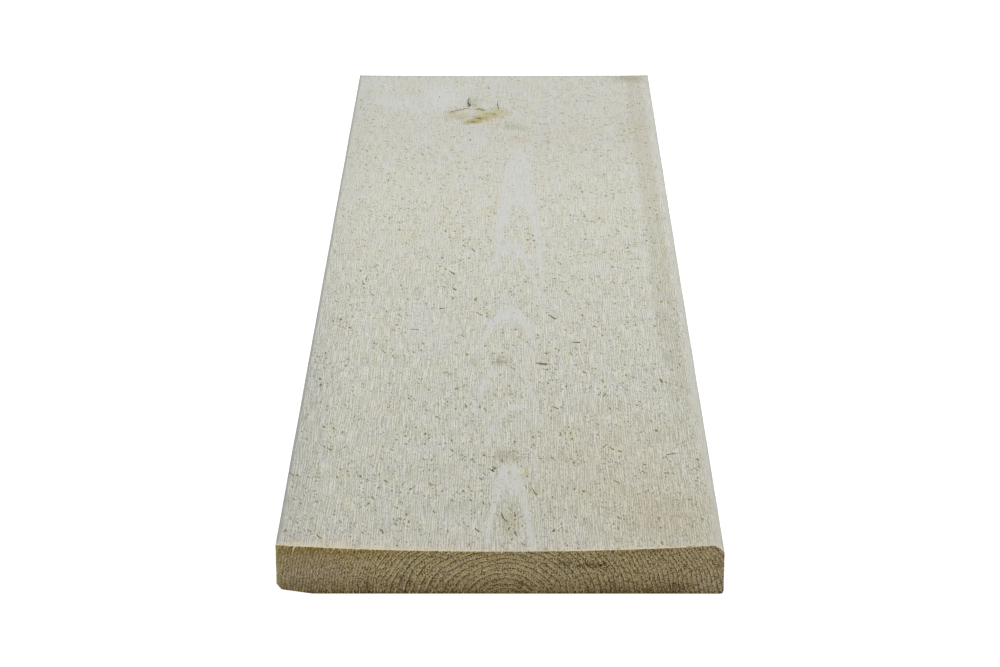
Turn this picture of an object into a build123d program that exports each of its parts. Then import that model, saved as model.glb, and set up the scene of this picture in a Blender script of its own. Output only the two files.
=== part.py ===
from build123d import *

import os

# Sawn timber board, one piece, lying on its flat underside.
# X runs across the board, Y along it, Z up through it. The origin is at the middle of the underside.
# The near end is at -Y. All sizes are in millimetres.

# Board. The thickness is the one half way down the hollow of the top face.
width = 225.0
thickness = 25.0
length = 900.0

# Cup: how far the middle of the top face lies below its edges. It fades out along the board.
near_cup = 3.5
far_cup = 0.5

# Worn, rounded arris along the top of the right edge
top_arris_width = 6.2
top_arris_height = 4.2
top_arris_bulge = 0.6

# Small rounding under the right edge
bottom_arris_radius = 1.8

# Left edge: the side leans in a little towards the underside, and the corner under it is bevelled.
# Beside that bevel a low strip of wane lifts off the underside.
side_lean = 0.2
bevel_width = 2.3
bevel_height = 3.0
wane_width = 15.7
wane_lift = 2.3

# How far the cut that shapes the top face runs out past the board
overcut = 5.0

half_width = width / 2
blank_top = thickness + near_cup / 2
bevel_x = side_lean + bevel_width - half_width
reach_x = half_width + overcut

os.makedirs("parts", exist_ok=True)

with BuildPart() as plank:
    # The sawn blank, with its worn edges, as high as the highest edge of the top face
    with BuildSketch(Plane.XZ):
        with BuildLine():
            Polyline(
                (half_width - bottom_arris_radius, 0),
                (bevel_x + wane_width, 0),
                (bevel_x, wane_lift),
                (side_lean - half_width, wane_lift + bevel_height),
                (-half_width, blank_top),
                (half_width - top_arris_width, blank_top),
            )
            SagittaArc(
                (half_width - top_arris_width, blank_top),
                (half_width, blank_top - top_arris_height),
                top_arris_bulge,
            )
            Line((half_width, blank_top - top_arris_height), (half_width, bottom_arris_radius))
            RadiusArc(
                (half_width, bottom_arris_radius),
                (half_width - bottom_arris_radius, 0),
                bottom_arris_radius,
            )
        make_face()
    extrude(amount=length / 2, both=True)

    # The hollow top face, from its deep near end to its nearly flat far end
    for end_y, cup in ((-length / 2, near_cup), (length / 2, far_cup)):
        middle_z = thickness - cup / 2
        reach_z = middle_z + cup * (reach_x / half_width) ** 2
        with BuildSketch(Plane.XZ.offset(-end_y)):
            with BuildLine():
                ThreePointArc((-reach_x, reach_z), (0, middle_z), (reach_x, reach_z))
                Polyline(
                    (reach_x, reach_z),
                    (reach_x, blank_top + overcut),
                    (-reach_x, blank_top + overcut),
                    (-reach_x, reach_z),
                )
            make_face()
    loft(ruled=True, mode=Mode.SUBTRACT)

plank.part.label = "plank"
export_step(plank.part, "parts/plank.step")
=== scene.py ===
"""The looks of a short rough-sawn softwood board.

X runs across the board, Y along it from the near end, Z up. Formulas work in millimetres, and meshes are in
metres. The board's mesh is a finely cut box with the real section, and its sawn relief is real shape.
Growth rings round the pith draw the end grain. The smooth arches down the middle of the top face are where
the saw cut along one ring, and the rest of that face is torn and combed by the saw.
"""

import math
import random

import bpy
from mathutils import Euler, Matrix, Vector


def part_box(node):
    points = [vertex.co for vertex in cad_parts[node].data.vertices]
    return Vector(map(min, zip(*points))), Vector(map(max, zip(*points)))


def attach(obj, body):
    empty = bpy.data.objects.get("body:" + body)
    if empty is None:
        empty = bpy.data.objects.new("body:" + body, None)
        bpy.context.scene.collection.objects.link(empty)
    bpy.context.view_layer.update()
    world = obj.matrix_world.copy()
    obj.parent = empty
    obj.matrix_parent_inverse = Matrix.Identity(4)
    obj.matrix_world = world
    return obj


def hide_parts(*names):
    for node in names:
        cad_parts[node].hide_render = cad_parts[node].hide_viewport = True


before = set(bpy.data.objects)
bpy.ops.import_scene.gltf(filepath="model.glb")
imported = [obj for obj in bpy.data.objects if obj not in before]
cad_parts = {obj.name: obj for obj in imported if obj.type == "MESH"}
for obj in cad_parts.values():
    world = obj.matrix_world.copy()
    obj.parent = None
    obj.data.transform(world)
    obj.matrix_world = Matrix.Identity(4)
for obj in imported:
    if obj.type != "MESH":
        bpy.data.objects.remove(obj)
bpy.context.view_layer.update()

MM = 0.001

# The board, from the frame
low_corner, high_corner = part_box("plank")
HALF_WIDTH = high_corner.x / MM
NEAR_Y = low_corner.y / MM
FAR_Y = high_corner.y / MM
EDGE_Z = high_corner.z / MM
LENGTH = FAR_Y - NEAR_Y

# Cup of the top face at each end. Half way down it the board has its nominal thickness.
NEAR_CUP = 3.5
FAR_CUP = 0.5
THICKNESS = EDGE_Z - NEAR_CUP / 2

# Pitch of the lines that the saw's teeth combed along the faces
COMB_PITCH = 1.2

# Worn arris along the top right: a round of this radius, about a centre inside the board
ARRIS_RADIUS = 11.98
ARRIS_CENTRE_IN = 9.48
ARRIS_CENTRE_DOWN = 11.52

# Small round under the right edge, then bevel and wane under the left one
FOOT_RADIUS = 1.8
BEVEL_WIDTH = 2.5
BEVEL_TOP = 5.3
WANE_LIFT = 2.3
WANE_WIDTH = 15.7

# The relief only cuts in. The ends stand back a little, to leave room for torn fibres, which end this far
# inside the board's box.
END_INSET = 0.2
FIBRE_GAP = 0.02

# Width of the torn rim round each end
RIM = 1.5

# Middle of the crack in the knot
CRACK_X = -26.4
CRACK_Y = 373.0

# How many fibres are torn at the two top end edges and lifted from the top face
NEAR_EDGE_FIBRES = 1500
FAR_EDGE_FIBRES = 300
LIFTED_FIBRES = 3000

# Growth rings. The pith runs under the board and sinks away from its near end. The rings are wider than they
# are high, on the left more than on the right, and narrow in the outer wood and at the far left. Past LEAN_X
# they lean over more.
PITH_X = 3.0
PITH_NEAR_Z = -5.0
PITH_DROP = 20.0
LEFT_SPREAD = 1.36
RIGHT_SPREAD = 1.18
LEAN_X = 60.0
LEAN_MORE = 0.008
INNER_RING = 2.75
OUTER_RING = 2.0
INNER_WOOD = 42.0
NARROW_X = -62.0
NARROW_MORE = 0.3

# Smooth arches on the top face: tip, length of the smooth part behind it, and for the left and the right leg
# how far it stands out and how far it runs down. An open one has only its legs.
ARCHES = (
    ((12.0, 255.0), 137.0, (17.0, 175.0), (14.5, 245.0), False),
    ((4.0, 44.0), 25.0, (10.0, 50.0), (21.0, 130.0), False),
    ((5.0, -82.0), 27.0, (17.0, 58.0), (15.0, 60.0), False),
    ((4.0, -178.0), 20.0, (17.0, 54.0), (17.0, 97.0), True),
    ((12.0, -247.0), 9.0, (21.0, 56.0), (3.0, 25.0), False),
    ((4.0, -331.0), 38.0, (11.5, 105.0), (13.5, 115.0), False),
)

# Pale smooth places: middle, reach across and along, turn in degrees, strength
SMOOTH_PLACES = (
    ((-68, 370), (30, 26), 0, 0.7),
    ((-100, 425), (20, 34), 0, 0.6),
    ((-47, 388), (22, 62), 0, 1.0),
    ((-90, 376), (15, 20), 0, 0.8),
    ((-7, 425), (14, 9), 35, 0.6),
    ((-10, 364), (5, 8), 0, 0.8),
    ((20, 410), (1.5, 42), 0, 0.7),
    ((31, 60), (1.6, 55), 0, 0.6),
    ((38, 150), (1.6, 70), 0, 0.5),
    ((-45, -125), (22, 60), 10, 0.45),
    ((-22, 255), (10, 55), 0, 0.35),
)

# Stains: middle, reach across and along, turn in degrees, strength, colour on screen
STAINS = (
    ((-40, 360), (6, 10), 0, 0.45, (206, 190, 166)),
    ((-22, 376), (10, 14), 0, 0.45, (182, 178, 156)),
    ((-28, 349), (11, 3.5), 10, 0.5, (214, 204, 182)),
    ((-34, 335), (14, 12), 0, 0.75, (184, 183, 150)),
    ((-21, 344), (6, 8), 0, 0.5, (203, 193, 192)),
    ((-39, 347), (7, 6), 20, 0.6, (184, 158, 132)),
    ((-27, 319), (5.5, 8), 0, 0.75, (184, 167, 122)),
    ((-21, 323), (9, 10), 10, 0.85, (173, 161, 110)),
    ((-16, 331), (9.5, 12), 30, 0.9, (177, 167, 110)),
    ((-9.5, 341), (9.5, 14), 30, 0.85, (181, 172, 118)),
    ((-3, 350), (7, 16), 20, 0.75, (188, 181, 134)),
    ((2, 341), (4, 8), -30, 0.5, (190, 184, 144)),
    ((-1, 334), (2.6, 5), 0, 0.5, (186, 174, 116)),
    ((-23, 320.5), (4.4, 2.8), 0, 0.75, (112, 97, 56)),
    ((-18.6, 330), (3.6, 2.8), 0, 0.85, (112, 92, 46)),
    ((-6.8, 342), (2.4, 3.4), 0, 0.7, (122, 108, 58)),
    ((-18.5, 355.5), (4, 3.6), 20, 0.85, (132, 120, 66)),
    ((-15, 353.3), (2.4, 2.4), 0, 0.8, (96, 84, 48)),
    ((-20, 362), (4, 6), 0, 0.4, (196, 188, 134)),
    ((-23, 367), (4, 4.5), 0, 0.55, (156, 154, 140)),
    ((-7, 322), (8, 7), 0, 0.45, (206, 192, 184)),
    ((9, 307), (15, 10), -45, 0.5, (174, 172, 142)),
    ((12, 276), (14, 14), 0, 0.35, (200, 182, 156)),
    ((45, 285), (26, 42), 0, 0.25, (202, 190, 174)),
    ((4, -326), (10, 15), 0, 0.4, (168, 152, 118)),
    ((0, -181), (8, 12), 0, 0.45, (168, 157, 132)),
    ((0, -182), (5, 3), 0, 0.4, (140, 128, 102)),
    ((5, -415), (9, 26), 0, 0.35, (176, 162, 124)),
    ((97, 441), (17, 16), 0, 0.5, (160, 154, 122)),
    ((92, 300), (14, 80), 0, 0.2, (196, 180, 158)),
    ((86, -415), (36, 60), 0, 0.45, (192, 180, 150)),
    ((60, -350), (60, 120), 0, 0.35, (206, 196, 170)),
)

# Single splinters on the top face: middle, length, turn from the X axis in degrees, width
# The dark ones lie in torn pits and in the knot's crack: their darkness is partly the wood's and partly
# painted shade
DARK_SPLINTERS_AND_PIT_SHADE = (
    ((-32, -22), 8, 118, 1.1),
    ((-30, -53), 5.5, 118, 1.0),
    ((-37, -90), 3, 5, 0.9),
    ((-53, -128), 6.5, 175, 0.6),
    ((-24, -137), 6, 120, 0.6),
    ((14.4, -39), 3, 100, 1.0),
    ((30.5, -105), 9, 118, 1.4),
    ((44, -150), 5.5, 172, 1.4),
    ((4.4, -220), 3.5, 90, 0.9),
    ((-20, -251), 3, 90, 1.2),
    ((58.7, -236), 5.5, 70, 1.0),
    ((-5, -345), 5.5, 125, 1.1),
    ((-3, -342), 4, 80, 0.8),
    ((0.8, -404), 7, 100, 0.8),
    ((2.2, -410), 6, 115, 0.8),
    ((7.5, -403), 6, 95, 0.8),
    ((-12, -423), 5, 115, 0.9),
    ((4.4, -421), 3.5, 80, 0.9),
    ((57, -312), 6, 60, 0.6),
    ((93, -327), 8, 10, 0.6),
    ((-26.2, 385), 9, 80, 0.7),
    ((-26.9, 376), 9, 92, 1.2),
    ((-26.0, 369), 7, 105, 2.0),
    ((-4.6, 372), 14, 88, 0.6),
    ((-4.1, 361), 11, 93, 0.8),
    ((20, 53), 3, 90, 1.1),
    ((20.6, 43), 2.6, 90, 1.0),
    ((-19, 23), 7, 110, 0.9),
    ((-38.7, 7), 2.6, 90, 1.2),
    ((-24, 274), 3.5, 90, 1.2),
    ((-49, 389), 3.5, 90, 1.0),
)
BROWN_SPLINTERS = (
    ((23.2, -185), 7, 158, 2.6),
    ((17.4, -373), 11, 104, 0.9),
    ((30.2, -254.5), 6, 128, 1.1),
    ((-13.5, -100), 5, 130, 0.9),
    ((0.6, -331), 4, 100, 1.2),
    ((-12, -252), 5, 90, 0.9),
    ((-38, 347.5), 4, 25, 1.1),
    ((-33, 352.5), 7, 15, 1.5),
    ((-28, 356), 5, 8, 1.2),
    ((27.5, 85), 4, 90, 0.9),
)
YELLOW_SPLINTERS = (
    ((38.6, -172), 7, 62, 1.6),
    ((37.6, -170), 5, 95, 0.8),
    ((13.8, -346), 9, 106, 1.2),
    ((12.6, -347), 8, 84, 0.8),
    ((16, -371), 12, 104, 0.9),
    ((4.2, -420), 7, 70, 0.8),
    ((-55, -356), 12, 88, 0.6),
    ((53.5, -60), 5, 150, 0.8),
    ((90, -410), 8, 6, 0.7),
    ((43.5, 344), 4, 20, 1.2),
    ((33, 381), 4, 80, 1.1),
)
ORANGE_SPLINTERS = (
    ((38.8, -190), 8, 90, 0.8),
    ((11.4, -132), 6, 100, 1.1),
    ((4.6, -232), 8, 95, 1.2),
    ((16.5, -31), 4, 90, 1.0),
    ((66, -432), 3.5, 90, 1.0),
    ((-30, 49), 4, 150, 0.8),
)

# Dark places on the near end: middle, reach across and up, strength
END_SPOTS = (
    ((46, 15.5), (12, 1.6), 0.6),
    ((39.7, 15.2), (1.6, 1.3), 0.95),
    ((43.4, 15.7), (1.8, 1), 0.9),
    ((47.4, 15.5), (2.2, 1), 0.85),
    ((50.6, 15.6), (1.5, 1.1), 0.9),
    ((52.7, 16.7), (1.2, 1.5), 0.95),
    ((88, 4), (7, 2.6), 0.6),
    ((75, 2), (3, 2.2), 0.6),
    ((63, 2.4), (4, 2), 0.4),
    ((57, 3.4), (3, 3), 0.5),
    ((110, 16), (2.4, 4), 0.5),
    ((10.4, 5.4), (2.2, 2.6), 0.7),
    ((-67, 5), (1.4, 4.5), 0.7),
    ((-50, 7), (1.3, 3.4), 0.6),
    ((-45, 6), (1.3, 3.4), 0.6),
    ((-54, 4), (1.2, 3), 0.5),
    ((-89, 15), (0.9, 0.7), 0.7),
    ((77, 23.4), (6, 1.6), 0.5),
    ((33, 17), (4, 5), 0.35),
)


def srgb(red, green, blue):
    """A colour as it looks on screen, 0 to 255, as the linear colour that a shader takes."""
    def linear(value):
        value = value / 255
        return value / 12.92 if value <= 0.04045 else ((value + 0.055) / 1.055) ** 2.4

    return (linear(red), linear(green), linear(blue), 1.0)


class Number:
    """A number that nodes work out. A sum or product of numbers adds a Math node to their tree."""

    def __init__(self, tree, socket):
        self.tree = tree
        self.socket = socket

    def maths(self, operation, *values):
        node = self.tree.nodes.new("ShaderNodeMath")
        node.operation = operation
        for value, entry in zip((self, *values), node.inputs):
            plug(self.tree, value, entry)
        return Number(self.tree, node.outputs[0])

    def __add__(self, other):
        return self.maths("ADD", other)

    def __sub__(self, other):
        return self.maths("SUBTRACT", other)

    def __mul__(self, other):
        return self.maths("MULTIPLY", other)

    def __truediv__(self, other):
        return self.maths("DIVIDE", other)

    def __pow__(self, other):
        return self.maths("POWER", other)

    def __abs__(self):
        return self.maths("ABSOLUTE")

    def most(self, other):
        return self.maths("MAXIMUM", other)

    def ramp(self, start, end, top=1.0):
        """Rises smoothly from 0 at start to top at end, or falls from top at end where end is the smaller."""
        node = self.tree.nodes.new("ShaderNodeMapRange")
        node.interpolation_type = "SMOOTHSTEP"
        falls = end < start
        plug(self.tree, self, node.inputs["Value"])
        node.inputs["From Min"].default_value = end if falls else start
        node.inputs["From Max"].default_value = start if falls else end
        node.inputs["To Min"].default_value = top if falls else 0.0
        node.inputs["To Max"].default_value = 0.0 if falls else top
        return Number(self.tree, node.outputs["Result"])


def plug(tree, value, entry):
    """Gives a node's input a worked-out value, or a plain one."""
    if isinstance(value, Number):
        value = value.socket
    if isinstance(value, bpy.types.NodeSocket):
        tree.links.new(value, entry)
    else:
        entry.default_value = value


def vector(x, y, z=0.0):
    """The vector of two or three numbers."""
    tree = x.tree
    node = tree.nodes.new("ShaderNodeCombineXYZ")
    for value, entry in zip((x, y, z), node.inputs):
        plug(tree, value, entry)
    return node.outputs[0]


def split(tree, place, scale=None):
    """The three numbers of a vector, each times scale."""
    node = tree.nodes.new("ShaderNodeSeparateXYZ")
    tree.links.new(place, node.inputs[0])
    numbers = [Number(tree, out) for out in node.outputs]
    return numbers if scale is None else [number * scale for number in numbers]


def noise(u, v, size, detail=2.0, roughness=0.5, seed=0.0):
    """Soft noise from 0 to 1, about 0.5, with patches of that size in millimetres."""
    tree = u.tree
    node = tree.nodes.new("ShaderNodeTexNoise")
    node.noise_dimensions = "2D"
    tree.links.new(vector(u / size[0] + seed, v / size[1] + seed), node.inputs["Vector"])
    node.inputs["Scale"].default_value = 1.0
    node.inputs["Detail"].default_value = detail
    node.inputs["Roughness"].default_value = roughness
    return Number(tree, node.outputs[0])


def blend(factor, first, second, how="MIX"):
    """Two colours mixed by a factor. Inputs 6 and 7 of the node and its output 2 are the colours."""
    tree = factor.tree if isinstance(factor, Number) else first.id_data
    node = tree.nodes.new("ShaderNodeMix")
    node.data_type = "RGBA"
    node.blend_type = how
    plug(tree, factor, node.inputs[0])
    plug(tree, first, node.inputs[6])
    plug(tree, second, node.inputs[7])
    return node.outputs[2]


def shaded(colour, red, green, blue):
    """A colour with its parts multiplied by three plain numbers."""
    return blend(1.0, colour, (red, green, blue, 1.0), "MULTIPLY")


def dashes(u, v, cell, length, width, lean, spread, share, seed):
    """Short marks scattered over a face, one to a cell, each leaning its own way from the v axis.

    Only a share of the cells hold one. Their lean and its spread are in radians, and lengths in millimetres.
    Gives the marks and the soft surround of each, from 0 to 1.
    """
    tree = u.tree
    node = tree.nodes.new("ShaderNodeTexVoronoi")
    node.voronoi_dimensions = "2D"
    node.inputs["Scale"].default_value = 1.0
    place_u = u / cell[0] + seed
    place_v = v / cell[1] + seed
    tree.links.new(vector(place_u, place_v), node.inputs["Vector"])
    centre_u, centre_v, _ = split(tree, node.outputs["Position"])
    pick, turn, size = split(tree, node.outputs["Color"])
    aside = (place_u - centre_u) * cell[0]
    ahead = (place_v - centre_v) * cell[1]
    angle = (turn - 0.5) * (2 * spread) + lean
    cosine, sine = angle.maths("COSINE"), angle.maths("SINE")
    along = abs(ahead * cosine + aside * sine) / (size * 0.8 + 0.4)
    across = abs(aside * cosine - ahead * sine)
    held = pick.ramp(share + 0.04, share - 0.04)
    mark = along.ramp(length * 0.55, length * 0.3) * across.ramp(width * 0.6, width * 0.25) * held
    surround = along.ramp(length * 0.9, length * 0.2) * across.ramp(width * 2.2, width * 0.4) * held
    return mark, surround


def spot(place, middle, reach, turn=0.0, ragged=0.0, strength=1.0):
    """A soft long spot: its strength in its middle, 0 past its reach."""
    tree = place.id_data
    node = tree.nodes.new("ShaderNodeMapping")
    node.vector_type = "TEXTURE"
    node.inputs["Location"].default_value = (*middle, 0.0)
    node.inputs["Rotation"].default_value = (0.0, 0.0, math.radians(turn))
    node.inputs["Scale"].default_value = (*reach, 1.0)
    tree.links.new(place, node.inputs["Vector"])
    away = tree.nodes.new("ShaderNodeVectorMath")
    away.operation = "LENGTH"
    tree.links.new(node.outputs[0], away.inputs[0])
    return (Number(tree, away.outputs["Value"]) + ragged).ramp(1.0, 0.3, strength)


def arch(x, y_down, ragged, tip, body, left, right, is_open):
    """A smooth band that runs round one tip of the figure and down on both sides."""
    side = x - tip[0]
    left_share = (side / -left[0]).most(0.0)
    right_share = (side / right[0]).most(0.0)
    power = 3.0 if is_open else 2.4
    fall = left_share ** power * left[1] + right_share ** power * right[1]
    drop = y_down + tip[1] - fall + ragged
    share = left_share + right_share
    band = drop.ramp(-3.0, 3.0) * drop.ramp(body + 3.0, body - 3.0) * share.ramp(1.15, 0.85)
    return band * share.ramp(0.3, 0.6) if is_open else band


def smooth_wood(x, y):
    """Where the top face is smooth: the arches of the figure, and some pale places."""
    y_down = y * -1.0
    comb = noise(x, y, size=(0.7, 9), seed=31.0) - 0.5
    patchy = noise(x, y, size=(3, 12), detail=3.0, seed=33.0) - 0.5
    total = None
    for tip, body, left, right, is_open in ARCHES:
        one = arch(x, y_down, comb * 26.0, tip, body, left, right, is_open)
        total = one if total is None else total.most(one)
    total = total * (patchy * 1.6 + 0.85)
    edge = comb * 0.9 + patchy
    flat = vector(x, y)
    for middle, reach, turn, strength in SMOOTH_PLACES:
        total = total.most(spot(flat, middle, reach, turn, edge, strength))
    return total


def ring_place(x, y, z):
    """Growth rings: how many lie between a point and the pith, and how far it lies from the pith."""
    depth = z - PITH_NEAR_Z + (y - NEAR_Y) * (PITH_DROP / LENGTH)
    depth = depth * ((x - LEAN_X).most(0.0) * LEAN_MORE + 1.0)
    side = x - PITH_X
    side = side.most(0.0) / RIGHT_SPREAD + (side * -1.0).most(0.0) / LEFT_SPREAD
    radius = (side * side + depth * depth).maths("SQRT")
    wander = noise(x, z, size=(26, 18), detail=3.0, seed=3.0) - 0.5
    outer = (radius - INNER_WOOD).most(0.0) * (1 / OUTER_RING - 1 / INNER_RING)
    narrow = (x * -1.0 + NARROW_X).most(0.0) * NARROW_MORE
    rings = radius / INNER_RING + outer + narrow + wander * 1.5
    return rings, radius


def find_node(tree, kind):
    """The node of one kind in a tree that holds one such node."""
    return next(node for node in tree.nodes if node.type == kind)


def new_material(name):
    """A material, and its object coordinates in millimetres."""
    material = bpy.data.materials.new(name)
    material.use_nodes = True
    tree = material.node_tree
    place = tree.nodes.new("ShaderNodeTexCoord").outputs["Object"]
    return material, split(tree, place, 1 / MM)


def finish_material(material, colour, height, roughness, shine):
    """Gives a material its colour, its roughness and shine, and a bump from a height in millimetres."""
    tree = material.node_tree
    shader = find_node(tree, "BSDF_PRINCIPLED")
    tree.links.new(colour, shader.inputs["Base Color"])
    shader.inputs["Roughness"].default_value = roughness
    shader.inputs["Specular IOR Level"].default_value = shine
    bump = tree.nodes.new("ShaderNodeBump")
    bump.inputs["Strength"].default_value = 1.0
    bump.inputs["Distance"].default_value = MM
    plug(tree, height, bump.inputs["Height"])
    tree.links.new(bump.outputs[0], shader.inputs["Normal"])


def combed_wood(across, y):
    """The lines combed by the saw, their fine and coarse noise, and how cool the wood is between them."""
    sway = (noise(across, y, size=(9, 60), seed=5.0) - 0.5) * 1.2
    u = across + sway
    fine = noise(u, y, size=(0.4, 24), roughness=0.6, seed=1.0)
    grit = noise(u, y, size=(0.4, 3.5), detail=1.0, seed=4.0)
    drift = noise(across, y, size=(7, 60), seed=13.0) * 3.0
    comb = abs((u / COMB_PITCH + drift).maths("FRACT") - 0.5).ramp(0.02, 0.32)
    lines = (fine * 0.58 + grit * 0.32 + comb * 0.1).ramp(0.38, 0.59)
    tint = noise(u, y, size=(1.5, 40), seed=6.0).ramp(0.36, 0.64)
    broad = noise(across, y, size=(11, 30), detail=3.0, seed=7.0).ramp(0.36, 0.64)
    return lines, fine, grit, tint * 0.5 + broad * 0.5


def torn_marks(across, y, rough):
    """The marks where the saw tore the rough wood, and the yellowed wood round the larger ones."""
    bent = across + (noise(across, y, size=(2.5, 5), seed=17.0) - 0.5) * 2.5
    crowd = noise(across, y, size=(11, 26), detail=3.0, seed=8.0).ramp(0.36, 0.62) * 0.8 + 0.2
    tiny, _ = dashes(bent, y, cell=(1.9, 4.2), length=2.7, width=0.64,
                     lean=-0.15, spread=0.3, share=0.42, seed=2.3)
    small, halo = dashes(bent, y, cell=(5.4, 10), length=3.6, width=0.85,
                         lean=-0.2, spread=0.35, share=0.5, seed=5.1)
    large, large_halo = dashes(bent, y, cell=(25, 42), length=5.8, width=0.85,
                               lean=-0.25, spread=0.35, share=0.4, seed=9.7)
    curls, _ = dashes(bent, y, cell=(9, 14), length=5.0, width=1.8,
                      lean=-1.15, spread=0.45, share=0.45, seed=7.7)
    torn = (tiny * 0.66).most(small * 0.9) * crowd
    torn = torn.most(large * 0.9).most(curls * y.ramp(80, 300, 0.4)) * rough
    halo = (halo * 0.55 * crowd).most(large_halo * 0.5) * rough
    return torn, halo


def edge_tints(colour, x, y, z, fine, grit):
    """A colour with painted shade in grey lines along the left, right and far edges, and cream fibres torn at
    the near one.
    """
    # Painted shade: thin grey lines along the left, far and right edges
    edge_shade = x.ramp(-110.2, -112.2).most(y.ramp(FAR_Y - 4, FAR_Y - 1)) * z.ramp(23, 25.5, 0.85)
    edge_shade = edge_shade.most(x.ramp(111.2, 112.4) * z.ramp(13, 19, 0.4))
    colour = blend(edge_shade, colour, srgb(152, 153, 150))
    from_near = y - NEAR_Y
    clump = (noise(x, y, size=(7, 30), seed=21.0) - 0.5) * 12.0
    torn_edge = (from_near + (fine - 0.5) * 16.0 + (grit - 0.5) * 12.0 + clump).ramp(5.0, 1.0)
    torn_edge = torn_edge * (x.ramp(0, -50) * 0.4 + 0.25)
    thin_edge = from_near.ramp(2.6, 1.0) * abs(x - 12).ramp(8, 26) * x.ramp(102, 84) * 0.75
    cream = torn_edge.most(thin_edge) * (grit.ramp(0.38, 0.54) * 0.5 + 0.5)
    return blend(cream, colour, srgb(224, 213, 174))


def sawn_face_material():
    """The pale sawn faces: combed lines, torn marks, smooth arches, the knot and stains."""
    material, (x, y, z) = new_material("sawn_face")
    on_top = z.ramp(THICKNESS * 0.7, THICKNESS * 0.8)
    across = (z * -1.0 + THICKNESS) * (x / HALF_WIDTH) + x
    smooth = smooth_wood(x, y) * on_top
    lines, fine, grit, cool = combed_wood(across, y)

    # The pale strip along the right edge, worn smooth and paler as painted light where its round faces the
    # light, and torn marks everywhere else
    worn_and_lit_strip = x.ramp(105.5, 110.5) * (y.ramp(440, 250) * 0.7 + 0.3) * z.ramp(13, 19)
    rough = (smooth * -0.92 + 1.0) * (worn_and_lit_strip * -0.8 + 1.0) * (y.ramp(-100, 400) * -0.3 + 1.0)
    torn, halo = torn_marks(across, y, rough)

    # The wood's own colour, with painted shade darkening it towards both ends, and a greyer band beside the
    # pale strip
    colour = blend(cool, srgb(210, 208, 192), srgb(212, 211, 204))
    colour = blend(y.ramp(-150, -450), colour, shaded(colour, 0.96, 0.96, 0.95))
    colour = blend(y.ramp(100, 330), colour, shaded(colour, 0.93, 0.94, 0.965))
    band_edge = noise(across, y, size=(30, 200), seed=12.0) * 8.0 + x
    band = band_edge.ramp(96, 101) * x.ramp(108, 105) * y.ramp(-400, -150) * on_top
    colour = blend(band * 0.45, colour, srgb(190, 186, 168))
    # Painted light: the strip on the right arris is paler where it faces the light
    colour = blend(worn_and_lit_strip * 0.7, colour, srgb(207, 206, 199))
    # Painted shade: greyer towards the left edge, more so towards the near end
    colour = blend(x.ramp(-88, -111) * (y.ramp(0, -250) * 0.3 + 0.3), colour, srgb(190, 191, 184))
    colour = blend(smooth * 0.75, colour, srgb(207, 208, 206))

    # Stains, on the top face alone
    flat = vector(x, y)
    ragged = (noise(x, y, size=(1.2, 2.4), seed=23.0) + grit - 1.0) * 1.3
    stained = colour
    for middle, reach, turn, strength, stain in STAINS:
        stained = blend(spot(flat, middle, reach, turn, ragged, strength), stained, srgb(*stain))
    colour = blend(on_top, colour, stained)
    colour = blend((y - NEAR_Y).ramp(26, 2) * 0.35, colour, srgb(210, 200, 186))

    # Shadow in the combed lines, weaker where the wood is even, then the torn marks and the edges
    even = (smooth * 0.75).most(worn_and_lit_strip * 0.5).most(y.ramp(-300, 350) * 0.5)
    depth = lines * (even * -1.0 + 1.0) + even * 0.75
    colour = blend(depth, shaded(colour, 0.62, 0.63, 0.6), colour)
    colour = blend(halo, colour, srgb(192, 187, 146))
    colour = blend(torn, colour, srgb(92, 91, 70))
    colour = edge_tints(colour, x, y, z, fine, grit)
    finish_material(material, colour, depth * 0.1 - torn * 0.12, roughness=0.9, shine=0.15)
    return material


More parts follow.
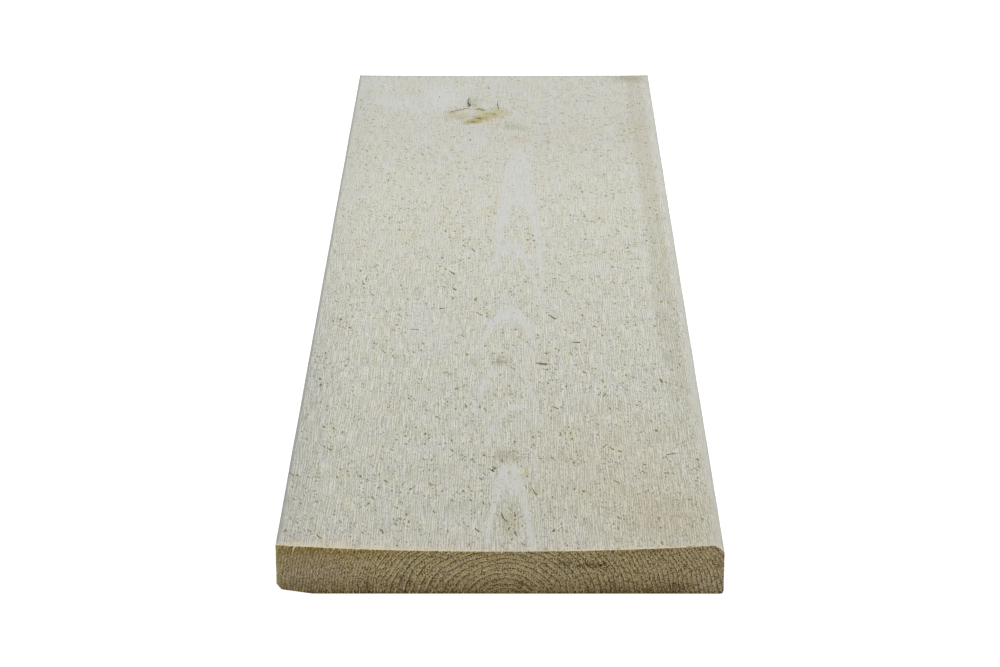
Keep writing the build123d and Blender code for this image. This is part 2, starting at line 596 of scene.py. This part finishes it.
def end_grain_material():
    """The darker ends: rings round the pith, torn pits and pale fibre tips."""
    material, (x, y, z) = new_material("end_grain")

    # The lines of the rings, broken and dotted along them
    rings, radius = ring_place(x, y, z)
    phase = rings.maths("FRACT")
    turn = (x - PITH_X).maths("ARCTAN2", z - PITH_NEAR_Z) * radius
    broken = noise(turn, rings, size=(6, 0.8), detail=3.0, seed=9.0)
    dotted = noise(turn, rings, size=(0.6, 0.6), seed=19.0).ramp(0.38, 0.56)
    dotted = dotted * (radius.ramp(40, 25) * 0.35 + 0.4) + radius.ramp(25, 40) * 0.35 + 0.25
    line = phase.ramp(0.66, 0.84) * phase.ramp(1.0, 0.93) * broken.ramp(0.25, 0.5) * dotted
    late = phase.ramp(0.2, 0.8) * phase.ramp(1.0, 0.93)
    pale_line = phase.ramp(0.3, 0.06) * broken.ramp(0.3, 0.55)
    bands = noise(turn, rings, size=(20, 1.2), seed=4.0).ramp(0.36, 0.64)

    # The grit of cut fibres, calmer at the far left, with pits and pale tips
    fuzz = noise(radius, turn, size=(0.45, 0.9), detail=1.0, seed=14.0)
    grain = noise(x, z, size=(0.5, 0.55), detail=1.0, seed=15.0)
    grit = (fuzz * 0.35 + grain * 0.65).ramp(0.34, 0.62)
    calm = x.ramp(-70, -95)
    pits, _ = dashes(x, z, cell=(1.3, 1.3), length=1.0, width=0.85,
                     lean=0.0, spread=3.1, share=0.45, seed=1.3)
    tips, _ = dashes(radius, turn, cell=(1.3, 2.2), length=1.8, width=0.6,
                     lean=0.0, spread=0.4, share=0.5, seed=6.3)

    # The wood's colour, stained yellow under its top edge, with painted shade darker towards its foot and in
    # a thin line under the torn top edge
    flat = vector(x, z)
    from_top = z - THICKNESS + NEAR_CUP / 2 - (x / HALF_WIDTH) ** 2.0 * NEAR_CUP
    colour = blend(bands, srgb(193, 175, 130), srgb(187, 172, 134))
    greyish = spot(flat, (-96, 8), (26, 12)).most(spot(flat, (108, 6), (14, 8)))
    colour = blend(greyish * 0.7, colour, srgb(194, 177, 150))
    stain = ((grain - 0.5) * 8.0 + from_top).ramp(-7.0, -0.5) * (x.ramp(-20, -80) * 0.7 + 0.15)
    colour = blend(stain, colour, srgb(164, 137, 56))
    low_shade = z.ramp(13, 0) * (x.ramp(108, 84) * 0.65 + 0.2)
    colour = blend(low_shade, colour, srgb(146, 126, 85))
    # Painted shade under the torn fibres that hang over the top edge
    colour = blend(from_top.ramp(-1.8, -0.3) * 0.4, colour, srgb(128, 110, 56))

    # Rings, grit, painted contact shadow along the foot, dark spots and pits over it
    colour = blend(pale_line * (x.ramp(-20, -45) * 0.35 + 0.25), colour, srgb(222, 205, 158))
    colour = blend(late * 0.14, colour, srgb(96, 78, 44))
    colour = blend(line * (x.ramp(-50, -80) * -0.4 + 0.8), colour, srgb(88, 70, 42))
    grit_share = grit * (calm * -0.08 + 0.7) - calm * 0.06 + 0.29
    colour = blend(grit_share, srgb(62, 46, 16), colour)
    colour = blend((x + HALF_WIDTH).ramp(3.0, 0.3) * 0.7, colour, srgb(160, 152, 98))
    # Painted contact shadow along the foot of the end
    foot = ((fuzz - 0.5) * 7.0 + z).ramp(1.8, 0.2)
    colour = blend(foot * 0.7, colour, srgb(62, 48, 24))
    colour = blend(tips * 0.3, colour, srgb(214, 198, 154))
    ragged = (grain - 0.5) * 4.0
    for middle, reach, strength in END_SPOTS:
        colour = blend(spot(flat, middle, reach, 0.0, ragged, strength), colour, srgb(68, 50, 28))
    colour = blend(pits * (calm * -0.4 + 0.7), colour, srgb(52, 40, 20))
    height = grit * 0.15 - pits * 0.25 - line * 0.15
    finish_material(material, colour, height, roughness=0.95, shine=0.1)
    return material


def fibre_material(name, light, dark):
    """Torn wood fibre, streaked from light to dark."""
    material, (x, y, z) = new_material(name)
    streak = noise(x + z, y, size=(0.5, 1.6), seed=2.0).ramp(0.35, 0.65)
    colour = blend(streak, srgb(*light), srgb(*dark))
    finish_material(material, colour, streak * 0.05, roughness=0.85, shine=0.2)
    return material


def top_height(x, y):
    """Height of the top face: the cup, and the arris at its right, which is worn less towards the far end."""
    along = (y - NEAR_Y) / LENGTH
    worn = min(1.0, 1.7 - 1.4 * along)
    cup = NEAR_CUP + (FAR_CUP - NEAR_CUP) * along
    height = THICKNESS - cup / 2 + cup * (x / HALF_WIDTH) ** 2
    side = x - (HALF_WIDTH - ARRIS_CENTRE_IN * worn)
    if side > 0:
        round_height = math.sqrt(max((ARRIS_RADIUS * worn) ** 2 - side ** 2, 0))
        height = min(height, EDGE_Z - ARRIS_CENTRE_DOWN * worn + round_height)
    return height


def torn_share(x):
    """How much the top edge of an end is torn, from 0 to 1: in clumps, and most at the left."""
    clump = 0.5 + 0.5 * math.sin(x * 0.9 + 3 * math.sin(x * 0.37))
    return clump * (0.35 + 0.65 * min(max(-x / 60, 0), 1))


def foot_height(x):
    """Height of the underside: flat, with the bevel and wane at its left and the small round at its right."""
    bevel_x = -HALF_WIDTH + BEVEL_WIDTH
    if x < bevel_x:
        return BEVEL_TOP - (BEVEL_TOP - WANE_LIFT) * (x + HALF_WIDTH) / BEVEL_WIDTH
    if x < bevel_x + WANE_WIDTH:
        return WANE_LIFT * (1 - (x - bevel_x) / WANE_WIDTH)
    side = max(x - (HALF_WIDTH - FOOT_RADIUS), 0)
    return FOOT_RADIUS - math.sqrt(max(FOOT_RADIUS ** 2 - side ** 2, 0))


def select_only(piece):
    """Selects one piece and makes it the active one."""
    bpy.ops.object.select_all(action="DESELECT")
    piece.select_set(True)
    bpy.context.view_layer.objects.active = piece


def finish_piece(piece):
    """Puts a piece on the board's body."""
    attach(piece, "root")


def cut_relief(board):
    """Cuts the saw's furrows into the faces, the rings into the ends and the crack into the knot."""
    tree = bpy.data.node_groups.new("sawn_relief", "GeometryNodeTree")
    tree.interface.new_socket("Geometry", in_out="INPUT", socket_type="NodeSocketGeometry")
    tree.interface.new_socket("Geometry", in_out="OUTPUT", socket_type="NodeSocketGeometry")
    entry = tree.nodes.new("NodeGroupInput")
    result = tree.nodes.new("NodeGroupOutput")
    place = tree.nodes.new("GeometryNodeInputPosition").outputs[0]
    normal = tree.nodes.new("GeometryNodeInputNormal").outputs[0]
    x, y, z = split(tree, place, 1 / MM)
    end_share = abs(split(tree, normal)[1])
    across = x + z
    furrows = noise(across, y, size=(1.5, 60), seed=1.0).ramp(0.3, 0.7) * 0.12
    waves = noise(across, y, size=(24, 70), seed=2.0).ramp(0.3, 0.7) * 0.08
    crack = abs(x - CRACK_X).ramp(1.2, 0.2) * abs(y - CRACK_Y).ramp(16, 8) * z.ramp(20, 22) * 1.5
    rings, _ = ring_place(x, y, z)
    ring_furrows = rings.maths("FRACT").ramp(0.45, 0.8) * 0.15
    torn_end = noise(x, z, size=(1.8, 1.8), seed=3.0).ramp(0.35, 0.75) * 0.12
    face_depth = furrows + waves + crack
    end_depth = ring_furrows + torn_end
    depth = (end_depth * end_share + face_depth * (end_share * -1.0 + 1.0)) * z.ramp(0.3, 3)
    inwards = tree.nodes.new("ShaderNodeVectorMath")
    inwards.operation = "SCALE"
    tree.links.new(normal, inwards.inputs[0])
    plug(tree, depth * -MM, inwards.inputs["Scale"])
    move = tree.nodes.new("GeometryNodeSetPosition")
    tree.links.new(entry.outputs[0], move.inputs["Geometry"])
    tree.links.new(inwards.outputs[0], move.inputs["Offset"])
    tree.links.new(move.outputs[0], result.inputs[0])
    relief = board.modifiers.new("sawn_relief", "NODES")
    relief.node_group = tree
    select_only(board)
    bpy.ops.object.modifier_apply(modifier=relief.name)


def cut_edges(piece, axis, cuts):
    """Cuts every edge that runs along one axis into equal parts."""
    select_only(piece)
    bpy.ops.object.mode_set(mode="EDIT")
    bpy.ops.mesh.select_mode(type="EDGE")
    bpy.ops.mesh.select_all(action="DESELECT")
    bpy.ops.object.mode_set(mode="OBJECT")
    for edge in piece.data.edges:
        first, second = (piece.data.vertices[i].co for i in edge.vertices)
        edge.select = abs(first[axis] - second[axis]) > 1e-6
    bpy.ops.object.mode_set(mode="EDIT")
    bpy.ops.mesh.subdivide(number_cuts=cuts)
    bpy.ops.object.mode_set(mode="OBJECT")


def shape_board():
    """A finely cut box, brought to the real section, with its relief and materials."""
    bpy.ops.object.select_all(action="DESELECT")
    bpy.ops.mesh.primitive_cube_add(size=1, location=(0, 0, 0.5))
    board = bpy.context.object
    board.name = "sawn_board"
    board.scale = (2 * HALF_WIDTH * MM, (LENGTH - 2 * END_INSET) * MM, 1)
    bpy.ops.object.transform_apply(location=True, rotation=True, scale=True)
    for axis, cuts in ((0, 3), (0, 87), (1, 83), (2, 29)):
        cut_edges(board, axis, cuts)

    # The box is one metre high here, so Z says how far up its section each point is. The row of points next
    # to each end moves up to the rim, and the top edge of the end is notched.
    dice = random.Random(3)
    end = LENGTH / 2 - END_INSET
    for point in board.data.vertices:
        x, y, share = point.co.x / MM, point.co.y / MM, point.co.z
        from_end = end - abs(y)
        is_on_end = from_end < 1
        is_beside_end = 1 < from_end < LENGTH / 60
        is_on_top = share > 0.999
        if is_beside_end:
            y = math.copysign(end - RIM, y)
            point.co.y = y * MM
        foot = foot_height(x)
        height = foot + (top_height(x, y) - foot) * share
        if is_on_end and is_on_top and abs(x) < HALF_WIDTH - 6:
            height -= dice.random() * (0.05 + 0.35 * torn_share(x))
        point.co.z = height * MM
    cut_relief(board)
    board.data.materials.append(sawn_face_material())
    board.data.materials.append(end_grain_material())
    for face in board.data.polygons:
        if abs(face.normal.y) > 0.7:
            face.material_index = 1
    select_only(board)
    bpy.ops.object.shade_smooth_by_angle(angle=math.radians(40))
    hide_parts("plank")
    finish_piece(board)


def one_sliver():
    """The points and faces of one tapered sliver, one unit long, along Z."""
    bpy.ops.object.select_all(action="DESELECT")
    bpy.ops.mesh.primitive_cone_add(vertices=4, radius1=0.5, radius2=0.08, depth=1, location=(0, 0, 0.5))
    sliver = bpy.context.object
    bpy.ops.object.transform_apply(location=True, rotation=True, scale=True)
    cut_edges(sliver, 2, 2)
    points = [point.co.copy() for point in sliver.data.vertices]
    faces = [tuple(face.vertices) for face in sliver.data.polygons]
    bpy.data.objects.remove(sliver)
    return points, faces


def lay_slivers(name, material, pattern, slivers):
    """Joins copies of the sliver into one piece.

    Each has a root, a tip, a rise in its middle, and a width. None of them leaves the board's box.
    """
    sliver_points, sliver_faces = pattern
    points, faces = [], []
    for root, tip, rise, width in slivers:
        run = tip - root
        is_hanging = abs(run.z) > abs(run.x) + abs(run.y)
        side = run.cross(Vector((0, 1, 0)) if is_hanging else Vector((0, 0.02, 1))).normalized()
        lift = side.cross(run).normalized()
        first = len(points)
        for point in sliver_points:
            middle = root + run * point.z + Vector((0, 0, rise * 4 * point.z * (1 - point.z)))
            place = middle + side * (point.x * width) + lift * (point.y * width * 0.6)
            place.y = min(max(place.y, NEAR_Y + FIBRE_GAP), FAR_Y - FIBRE_GAP)
            place.z = min(place.z, EDGE_Z - FIBRE_GAP)
            points.append(place * MM)
        faces += [tuple(first + i for i in face) for face in sliver_faces]
    mesh = bpy.data.meshes.new(name)
    mesh.from_pydata(points, [], faces)
    piece = bpy.data.objects.new(name, mesh)
    bpy.context.collection.objects.link(piece)
    piece.data.materials.append(material)
    select_only(piece)
    bpy.ops.object.mode_set(mode="EDIT")
    bpy.ops.mesh.select_all(action="SELECT")
    bpy.ops.mesh.normals_make_consistent(inside=False)
    bpy.ops.object.mode_set(mode="OBJECT")
    finish_piece(piece)


def edge_slivers(dice, count, end_y, inwards):
    """Torn fibres along the top edge of an end. They stand out by less than its inset and hang over it."""
    slivers = []
    for _ in range(count):
        x = dice.uniform(-HALF_WIDTH + 2, HALF_WIDTH - 8)
        share = torn_share(x)
        if dice.random() > 0.3 + 0.7 * share:
            continue
        start = end_y + inwards * (END_INSET + dice.uniform(0.1, 1.6))
        root = Vector((x, start, top_height(x, start) - 0.3))
        hang = dice.expovariate(1.3) * (0.2 + 0.8 * share)
        end = end_y + inwards * dice.uniform(0.1, 0.2)
        tip = Vector((x + dice.gauss(0, 0.5), end, root.z - min(hang, 1.4)))
        slivers.append((root, tip, dice.uniform(0, 0.1), dice.uniform(0.35, 0.7)))
    return slivers


def splinters(marks):
    """Splinters that lie on the top face, at the places given."""
    slivers = []
    for (x, y), length, turn, width in marks:
        half = Vector((math.cos(math.radians(turn)), math.sin(math.radians(turn)), 0)) * (length / 2)
        root, tip = Vector((x, y, 0)) - half, Vector((x, y, 0)) + half
        root.z = top_height(root.x, root.y) - 0.05
        tip.z = top_height(tip.x, tip.y) + 0.1
        slivers.append((root, tip, 0.1, width))
    return slivers


def loose_fibres(dice, count):
    """Short fibres that the saw has lifted all over the top face."""
    slivers = []
    for _ in range(count):
        x = dice.uniform(-HALF_WIDTH + 4, HALF_WIDTH - 8)
        y = dice.uniform(NEAR_Y + 8, FAR_Y - 4)
        turn = math.radians(dice.gauss(108, 16))
        length = dice.uniform(1.5, 4.0)
        root = Vector((x, y, top_height(x, y) - 0.2))
        tip = root + Vector((math.cos(turn) * length, -math.sin(turn) * length, dice.uniform(0.25, 0.7)))
        slivers.append((root, tip, 0.1, dice.uniform(0.3, 0.55)))
    return slivers


def make_fibres():
    """The torn fibres, lifted fibres and splinters, one piece for each kind."""
    dice = random.Random(7)
    pattern = one_sliver()
    cream = fibre_material("torn_fibre", (232, 222, 188), (208, 194, 148))
    pale = fibre_material("lifted_fibre", (216, 214, 202), (196, 192, 172))
    near_fringe = edge_slivers(dice, NEAR_EDGE_FIBRES, NEAR_Y, 1)
    # One long splinter hangs over the near end at its left
    near_fringe.append((Vector((-103, NEAR_Y + 0.3, 26.2)), Vector((-104.3, NEAR_Y + 0.12, 22.2)), 0, 0.7))
    lay_slivers("torn_edge", cream, pattern, near_fringe)
    lay_slivers("far_torn_edge", pale, pattern, edge_slivers(dice, FAR_EDGE_FIBRES, FAR_Y, -1))
    lay_slivers("lifted_fibres", pale, pattern, loose_fibres(dice, LIFTED_FIBRES))
    for kind, light, dark, marks in (
        # The dark splinters are partly painted shade in torn pits and in the knot's crack
        ("dark", (130, 124, 92), (90, 84, 58), DARK_SPLINTERS_AND_PIT_SHADE),
        ("brown", (164, 144, 116), (126, 106, 80), BROWN_SPLINTERS),
        ("yellow", (232, 228, 186), (196, 188, 132), YELLOW_SPLINTERS),
        ("orange", (216, 194, 154), (198, 174, 134), ORANGE_SPLINTERS),
    ):
        material = fibre_material(f"{kind}_splinter", light, dark)
        lay_slivers(f"{kind}_splinters", material, pattern, splinters(marks))


def make_stage():
    """A plain white floor, soft light from above and a pale room."""
    bpy.ops.object.select_all(action="DESELECT")
    bpy.ops.mesh.primitive_plane_add(size=30, location=(0, 0, -0.0005))
    floor = bpy.context.object
    floor.name = "floor"
    material = bpy.data.materials.new("white_floor")
    material.use_nodes = True
    shader = find_node(material.node_tree, "BSDF_PRINCIPLED")
    shader.inputs["Base Color"].default_value = (0.3, 0.3, 0.3, 1)
    shader.inputs["Roughness"].default_value = 1.0
    shader.inputs["Specular IOR Level"].default_value = 0.0
    shader.inputs["Emission Color"].default_value = (1, 1, 1, 1)
    shader.inputs["Emission Strength"].default_value = 0.9
    floor.data.materials.append(material)

    world = bpy.data.worlds.new("pale_room")
    bpy.context.scene.world = world
    world.use_nodes = True
    background = find_node(world.node_tree, "BACKGROUND")
    background.inputs["Color"].default_value = (1, 1, 1, 1)
    background.inputs["Strength"].default_value = 0.5

    bpy.ops.object.light_add(type="AREA", location=(0.25, 0.45, 2.2))
    light = bpy.context.object
    light.name = "soft_light"
    light.data.size = 1.2
    light.data.energy = 33
    light.rotation_euler = Euler((math.radians(-11.5), math.radians(6.5), 0))


def make_camera():
    """The photograph's view, fitted to the board's outline."""
    bpy.ops.object.camera_add()
    camera = bpy.context.object
    camera.data.lens = 108.0
    camera.data.sensor_width = 36.0
    camera.data.clip_start = 0.05
    place = Vector((5.22, -1822.47, 641.89)) * MM
    pitch, yaw, roll = math.radians(20.1044), math.radians(-0.214), math.radians(-0.0774)
    turn = Euler((math.pi / 2 - pitch, 0, -yaw)).to_matrix().to_4x4() @ Matrix.Rotation(roll, 4, "Z")
    camera.matrix_world = Matrix.Translation(place) @ turn
    bpy.context.scene.camera = camera


def main():
    """Makes the whole picture."""
    make_camera()
    make_stage()
    shape_board()
    make_fibres()
    bpy.context.scene.view_settings.view_transform = "Standard"


main()
